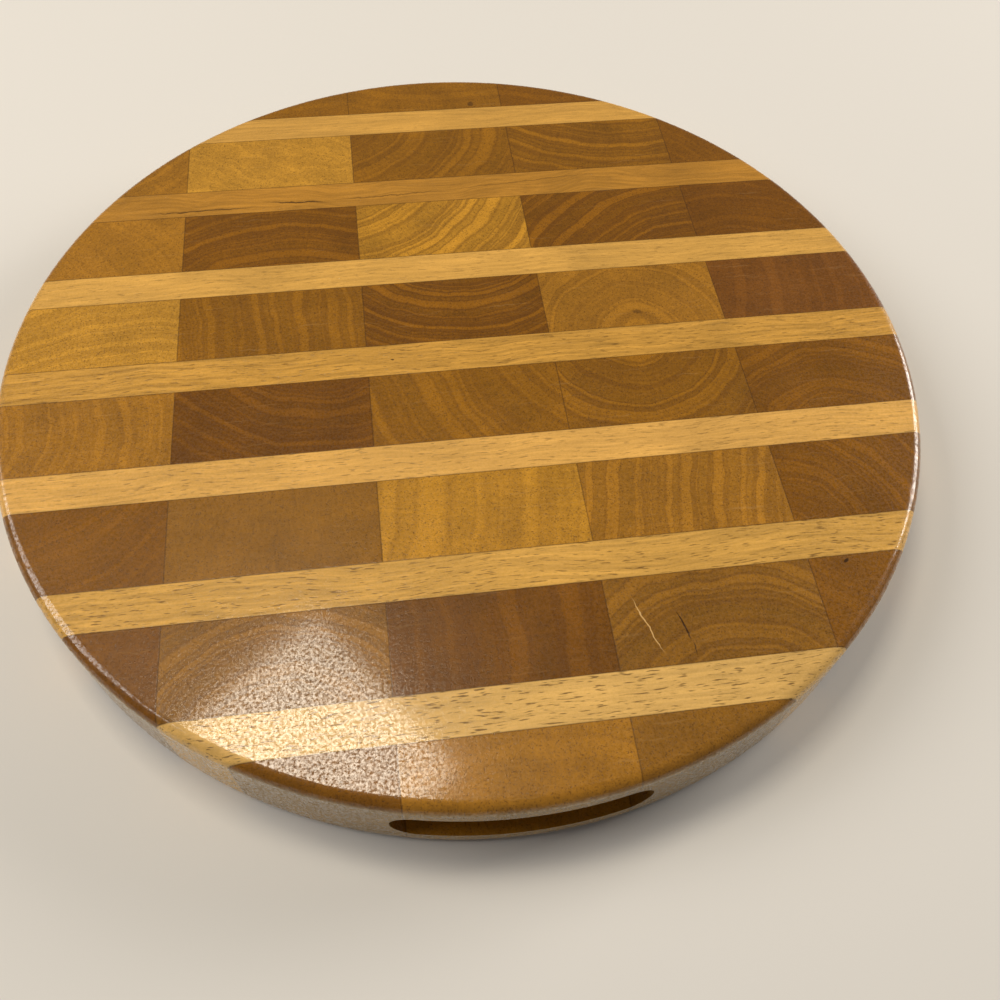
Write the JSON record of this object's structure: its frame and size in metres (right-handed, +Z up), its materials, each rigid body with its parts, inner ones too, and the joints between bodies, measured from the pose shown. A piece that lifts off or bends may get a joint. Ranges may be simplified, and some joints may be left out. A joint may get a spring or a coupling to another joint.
{
  "type": "round chopping block",
  "caption": "Round end-grain wooden chopping block with pale long-grain strips between its rows of blocks, rounded edges and a finger groove routed in the rim at front and back.",
  "frame": {"origin": "centre of the round underside, on the surface that the board lies on", "axes": "+Z up through the thickness, +X along the strips to the right, -Y towards the front finger groove"},
  "size_m": [0.3, 0.3, 0.03],
  "materials": {
    "long_grain": "lacquered pale rubberwood, long grain",
    "end_grain_light": "lacquered rubberwood end grain, light",
    "end_grain_mid": "lacquered rubberwood end grain, mid brown",
    "end_grain_dark": "lacquered rubberwood end grain, dark"
  },
  "bodies": {
    "root": {"strip_1": "long_grain", "strip_2": "long_grain", "strip_3": "long_grain", "strip_4": "long_grain", "strip_5": "long_grain", "strip_6": "long_grain", "strip_7": "long_grain", "row_1_left_1": "end_grain_mid", "row_1_middle": "end_grain_mid", "row_1_right_1": "end_grain_mid", "row_2_left_2": "end_grain_mid", "row_2_left_1": "end_grain_light", "row_2_middle": "end_grain_mid", "row_2_right_1": "end_grain_mid", "row_2_right_2": "end_grain_mid", "row_3_left_2": "end_grain_mid", "row_3_left_1": "end_grain_mid", "row_3_middle": "end_grain_light", "row_3_right_1": "end_grain_dark", "row_3_right_2": "end_grain_dark", "row_4_left_2": "end_grain_light", "row_4_left_1": "end_grain_mid", "row_4_middle": "end_grain_dark", "row_4_right_1": "end_grain_light", "row_4_right_2": "end_grain_dark", "row_5_left_2": "end_grain_light", "row_5_left_1": "end_grain_dark", "row_5_middle": "end_grain_mid", "row_5_right_1": "end_grain_mid", "row_5_right_2": "end_grain_mid", "row_6_left_2": "end_grain_mid", "row_6_left_1": "end_grain_dark", "row_6_middle": "end_grain_light", "row_6_right_1": "end_grain_mid", "row_6_right_2": "end_grain_mid", "row_7_left_2": "end_grain_mid", "row_7_left_1": "end_grain_dark", "row_7_middle": "end_grain_dark", "row_7_right_1": "end_grain_mid", "row_7_right_2": "end_grain_mid", "row_8_left_1": "end_grain_mid", "row_8_middle": "end_grain_mid", "row_8_right_1": "end_grain_mid"}
  },
  "joints": []
}
